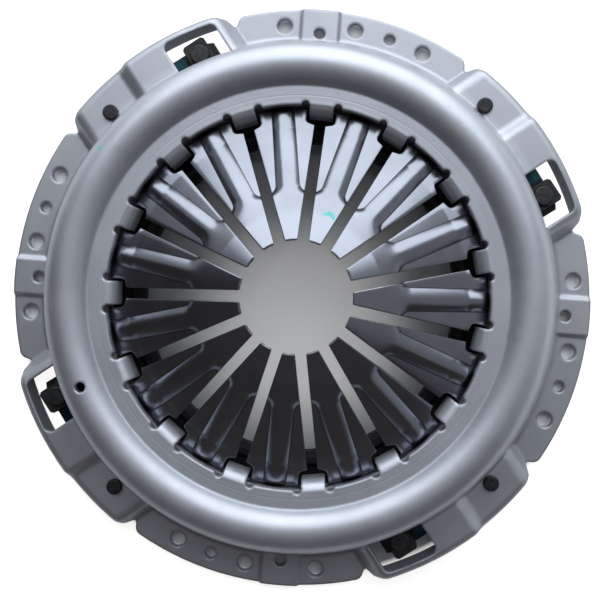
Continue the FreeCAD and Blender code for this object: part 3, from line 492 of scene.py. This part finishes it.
# Cover. One deep pressing in steel sheet: bolting flange, strap pockets with their windows, the
# round ring, the ledge and the tabs bent down through the spring. Bare, tumbled and oiled.
cover_steel, tree, shader, place = new_finish("cover_steel", (0.54, 0.56, 0.615), 0.75, 0.42)
reach = axis_distance(tree, place)
steel = blend_colour(tree, mottle(tree, place, 35, 4), (0.52, 0.54, 0.59), (0.56, 0.58, 0.635))
stain = arithmetic(tree, "MULTIPLY", mottle(tree, place, 5, 4, 0.6, 0.72), 0.10)
steel = blend_colour(tree, stain, steel, (0.30, 0.295, 0.30))
# The flange beyond 147 mm gets a darker grey steel colour than the ring.
darker_flange = between(tree, reach, 147 * MM, 150 * MM, 0, 0.35)
steel = blend_colour(tree, darker_flange, steel, (0.37, 0.375, 0.40))
DAB_PLACE = (-119.5 * MM, 55.8 * MM, 46.6 * MM)
ragged = between(tree, mottle(tree, place, 2, 3), 0, 1, -0.7 * MM, 0.7 * MM)
paint_dab = arithmetic(tree, "ADD", measure(tree, "DISTANCE", place, DAB_PLACE), ragged)
paint_dab = between(tree, paint_dab, 2.1 * MM, 1.7 * MM, 0, 0.9)
steel = blend_colour(tree, paint_dab, steel, (0.10, 0.55, 0.50))
tree.links.new(between(tree, paint_dab, 0, 1, 0.75, 0.1), shader.inputs["Metallic"])
tree.links.new(steel, shader.inputs["Base Color"])
tree.links.new(between(tree, mottle(tree, place, 11, 4), 0, 1, 0.42, 0.47), shader.inputs["Roughness"])
pits = add_node(tree, "TexVoronoi", {"Vector": place, "Scale": 1 / (9 * MM), "Randomness": 1})
nick = between(tree, pits.outputs["Distance"], 0.03, 0.055, -1, 0)
ledge_swell = between(tree, reach, 105.5 * MM, 112 * MM, 0, 1)
ledge_groove = arithmetic(tree, "ABSOLUTE", arithmetic(tree, "SUBTRACT", reach, 108.2 * MM))
ledge_groove = between(tree, ledge_groove, 0.15 * MM, 0.5 * MM, -1, 0)
skin, orange_peel = grain(tree, place, 0.7, 4), grain(tree, place, 5, 2)
steel_relief = ((skin, 0.006), (orange_peel, 0.04), (nick, 0.08), (ledge_swell, 0.18), (ledge_groove, 0.03))
relief(tree, shader, steel_relief, 2.0)
coat("cover", cover_steel)


# Rivets. Cold-headed steel, phosphated black: four hold the straps to the seats of the cover's
# pockets and four hold them to the plate's lugs.
rivet_black, tree, shader, place = new_finish("rivet_black", (0.030, 0.031, 0.034), 0.6, 0.45)
phosphate = blend_colour(tree, mottle(tree, place, 2), (0.022, 0.023, 0.026), (0.05, 0.05, 0.053))
tree.links.new(phosphate, shader.inputs["Base Color"])
tree.links.new(between(tree, mottle(tree, place, 1), 0, 1, 0.38, 0.55), shader.inputs["Roughness"])
relief(tree, shader, ((grain(tree, place, 0.3, 3), 0.03),), 0.4)
for name in nodes:
    if "_rivet_" in name:
        coat(name, rivet_black)


# Drive straps. Three blued spring-steel leaves in each pocket, riveted to the cover at one end
# and to a lug of the plate at the other; black over their last stretch at the lug.
STRAP_HALF, STRAP_END, CLIP_LONG, CLIP_WIDE = 7, 10.5, 5, 2.5
STRAP_ROWS, BLACK_FROM_LUG = 40, 9.5
strap_blue, tree, shader, place = new_finish("strap_blue", (0.018, 0.055, 0.07), 1, 0.3)
blued = blend_colour(tree, mottle(tree, place, 7), (0.011, 0.030, 0.038), (0.028, 0.078, 0.095))
tree.links.new(blued, shader.inputs["Base Color"])
tree.links.new(between(tree, mottle(tree, place, 4), 0, 1, 0.24, 0.38), shader.inputs["Roughness"])
relief(tree, shader, ((grain(tree, place, 0.4, 2), 0.01),), 0.15)
# The leaves are black over their last stretch at the lug.
strap_black, tree, shader, place = new_finish("strap_black", (0.012, 0.014, 0.016), 0.6, 0.4)
lug_end_tone = blend_colour(tree, mottle(tree, place, 4), (0.008, 0.010, 0.012), (0.018, 0.021, 0.023))
tree.links.new(lug_end_tone, shader.inputs["Base Color"])
tree.links.new(between(tree, mottle(tree, place, 2), 0, 1, 0.34, 0.5), shader.inputs["Roughness"])
relief(tree, shader, ((grain(tree, place, 0.5, 2), 0.02),), 0.15)


def middle_of(name):
    """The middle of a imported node's box."""
    low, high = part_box(name)
    return (low + high) / 2


for pack in range(1, 5):
    fixed, moving = middle_of(f"cover_rivet_{pack}"), middle_of(f"lug_rivet_{pack}")
    fixed.z = moving.z = 0
    along = (moving - fixed).normalized()
    across = type(along)((-along.y, along.x, 0))
    run = (moving - fixed).length / MM
    clips = {-STRAP_END, -STRAP_END + CLIP_LONG, run + STRAP_END - CLIP_LONG, run + STRAP_END}
    places = sorted(clips | {run * step / STRAP_ROWS for step in range(STRAP_ROWS + 1)})
    faces = [(2 * row, 2 * row + 2, 2 * row + 3, 2 * row + 1) for row in range(len(places) - 1)]
    for leaf in range(1, 4):
        node = f"drive_strap_{pack}_{leaf}"
        low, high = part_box(node)
        corners = []
        for distance in places:
            past = max(-distance, distance - run, 0) - (STRAP_END - CLIP_LONG)
            half = STRAP_HALF - max(past, 0) / CLIP_LONG * CLIP_WIDE
            for side in (-1, 1):
                point = fixed + along * distance * MM + across * half * side * MM
                corners.append((point.x, point.y, high.z))
        strap = add_mesh(f"strap_leaf_{pack}_{leaf}", corners, faces)
        body = strap.modifiers.new("leaf_thickness", "SOLIDIFY")
        body.thickness = high.z - low.z
        body.offset = -1
        strap.data.materials.append(strap_blue)
        strap.data.materials.append(strap_black)
        for face, distance in zip(strap.data.polygons, places):
            face.material_index = int(distance > run - BLACK_FROM_LUG)
        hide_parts(node)
        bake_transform(strap)
